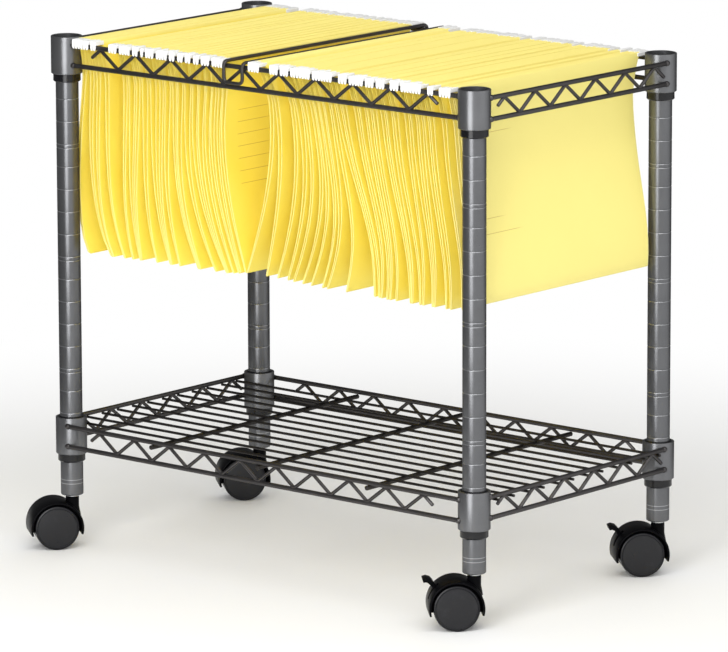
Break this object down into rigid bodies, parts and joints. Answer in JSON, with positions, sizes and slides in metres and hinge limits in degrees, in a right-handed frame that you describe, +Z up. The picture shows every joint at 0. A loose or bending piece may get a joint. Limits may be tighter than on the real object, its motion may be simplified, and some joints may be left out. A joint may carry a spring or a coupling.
{
  "type": "mobile file cart",
  "caption": "Rolling wire file cart: grooved posts on swivel casters, truss rails that carry hanging folders on top, a lift-off wire divider and an open wire shelf below.",
  "frame": {"origin": "on the floor, below the middle of the whole cart's box with the casters as they stand", "axes": "+X along the long side to the right, +Y from front to back, +Z up"},
  "size_m": [0.6566, 0.3932, 0.58],
  "materials": {
    "post_paint": "satin graphite metallic paint",
    "wire_paint": "satin dark graphite paint",
    "black_plastic": "matte black moulded plastic",
    "caster_plastic": "fine-grained black nylon",
    "wheel_plastic": "satin charcoal nylon",
    "zinc": "bright zinc",
    "yellow_card": "uncoated coloured card"
  },
  "bodies": {
    "frame": {"post_front_left": "post_paint", "post_cap_front_left": "black_plastic", "top_sleeve_front_left": "black_plastic", "shelf_sleeve_front_left": "black_plastic", "top_collar_front_left": "post_paint", "shelf_collar_front_left": "post_paint", "caster_stem_front_left": "zinc", "post_front_right": "post_paint", "post_cap_front_right": "black_plastic", "top_sleeve_front_right": "black_plastic", "shelf_sleeve_front_right": "black_plastic", "top_collar_front_right": "post_paint", "shelf_collar_front_right": "post_paint", "caster_stem_front_right": "zinc", "post_back_right": "post_paint", "post_cap_back_right": "black_plastic", "top_sleeve_back_right": "black_plastic", "shelf_sleeve_back_right": "black_plastic", "top_collar_back_right": "post_paint", "shelf_collar_back_right": "post_paint", "caster_stem_back_right": "zinc", "post_back_left": "post_paint", "post_cap_back_left": "black_plastic", "top_sleeve_back_left": "black_plastic", "shelf_sleeve_back_left": "black_plastic", "top_collar_back_left": "post_paint", "shelf_collar_back_left": "post_paint", "caster_stem_back_left": "zinc", "top_truss_front": "wire_paint", "top_truss_back": "wire_paint", "top_truss_left": "wire_paint", "top_truss_right": "wire_paint", "shelf_truss_front": "wire_paint", "shelf_truss_back": "wire_paint", "shelf_truss_left": "wire_paint", "shelf_truss_right": "wire_paint", "shelf_deck": "wire_paint"},
    "caster_front_left": {"caster_hood_front_left": "caster_plastic", "caster_axle_front_left": "zinc"},
    "wheel_front_left_1": {"caster_wheel_front_left_1": "wheel_plastic"},
    "wheel_front_left_2": {"caster_wheel_front_left_2": "wheel_plastic"},
    "caster_front_right": {"caster_hood_front_right": "caster_plastic", "caster_axle_front_right": "zinc", "brake_pin_front_right": "zinc"},
    "wheel_front_right_1": {"caster_wheel_front_right_1": "wheel_plastic"},
    "wheel_front_right_2": {"caster_wheel_front_right_2": "wheel_plastic"},
    "brake_front_right": {"brake_lever_front_right": "caster_plastic"},
    "caster_back_right": {"caster_hood_back_right": "caster_plastic", "caster_axle_back_right": "zinc", "brake_pin_back_right": "zinc"},
    "wheel_back_right_1": {"caster_wheel_back_right_1": "wheel_plastic"},
    "wheel_back_right_2": {"caster_wheel_back_right_2": "wheel_plastic"},
    "brake_back_right": {"brake_lever_back_right": "caster_plastic"},
    "caster_back_left": {"caster_hood_back_left": "caster_plastic", "caster_axle_back_left": "zinc"},
    "wheel_back_left_1": {"caster_wheel_back_left_1": "wheel_plastic"},
    "wheel_back_left_2": {"caster_wheel_back_left_2": "wheel_plastic"},
    "divider": {"file_divider": "wire_paint"},
    "folders_left": {"folders_left": "yellow_card"},
    "folders_right": {"folders_right": "yellow_card"}
  },
  "joints": [
    {"name": "swivel_front_left", "type": "hinge", "parent": "frame", "child": "caster_front_left", "pos_m": [-0.27882, -0.14361, 0.05], "axis": [0, 0, 1], "continuous": true},
    {"name": "roll_front_left_1", "type": "hinge", "parent": "caster_front_left", "child": "wheel_front_left_1", "pos_m": [-0.29113, -0.15937, 0.025], "axis": [0.788, -0.6157, 0], "continuous": true},
    {"name": "roll_front_left_2", "type": "hinge", "parent": "caster_front_left", "child": "wheel_front_left_2", "pos_m": [-0.29113, -0.15937, 0.025], "axis": [0.788, -0.6157, 0], "continuous": true},
    {"name": "swivel_front_right", "type": "hinge", "parent": "frame", "child": "caster_front_right", "pos_m": [0.30518, -0.14361, 0.05], "axis": [0, 0, 1], "continuous": true},
    {"name": "roll_front_right_1", "type": "hinge", "parent": "caster_front_right", "child": "wheel_front_right_1", "pos_m": [0.29104, -0.15775, 0.025], "axis": [0.7071, -0.7071, 0], "continuous": true},
    {"name": "roll_front_right_2", "type": "hinge", "parent": "caster_front_right", "child": "wheel_front_right_2", "pos_m": [0.29104, -0.15775, 0.025], "axis": [0.7071, -0.7071, 0], "continuous": true},
    {"name": "brake_press_front_right", "type": "hinge", "parent": "caster_front_right", "child": "brake_front_right", "pos_m": [0.28018, -0.16861, 0.03931], "axis": [0.7071, -0.7071, 0], "range_deg": [0, 20]},
    {"name": "swivel_back_right", "type": "hinge", "parent": "frame", "child": "caster_back_right", "pos_m": [0.30518, 0.17439, 0.05], "axis": [0, 0, 1], "continuous": true},
    {"name": "roll_back_right_1", "type": "hinge", "parent": "caster_back_right", "child": "wheel_back_right_1", "pos_m": [0.2918, 0.15953, 0.025], "axis": [0.7431, -0.6691, 0], "continuous": true},
    {"name": "roll_back_right_2", "type": "hinge", "parent": "caster_back_right", "child": "wheel_back_right_2", "pos_m": [0.2918, 0.15953, 0.025], "axis": [0.7431, -0.6691, 0], "continuous": true},
    {"name": "brake_press_back_right", "type": "hinge", "parent": "caster_back_right", "child": "brake_back_right", "pos_m": [0.28152, 0.14811, 0.03931], "axis": [0.7431, -0.6691, 0], "range_deg": [0, 20]},
    {"name": "swivel_back_left", "type": "hinge", "parent": "frame", "child": "caster_back_left", "pos_m": [-0.27882, 0.17439, 0.05], "axis": [0, 0, 1], "continuous": true},
    {"name": "roll_back_left_1", "type": "hinge", "parent": "caster_back_left", "child": "wheel_back_left_1", "pos_m": [-0.29194, 0.1593, 0.025], "axis": [0.7547, -0.6561, 0], "continuous": true},
    {"name": "roll_back_left_2", "type": "hinge", "parent": "caster_back_left", "child": "wheel_back_left_2", "pos_m": [-0.29194, 0.1593, 0.025], "axis": [0.7547, -0.6561, 0], "continuous": true},
    {"name": "divider_lift", "type": "slide", "parent": "frame", "child": "divider", "axis": [0, 0, 1], "range_m": [0, 0.05]},
    {"name": "folders_left_lift", "type": "slide", "parent": "frame", "child": "folders_left", "axis": [0, 0, 1], "range_m": [0, 0.26]},
    {"name": "folders_right_lift", "type": "slide", "parent": "frame", "child": "folders_right", "axis": [0, 0, 1], "range_m": [0, 0.26]}
  ]
}
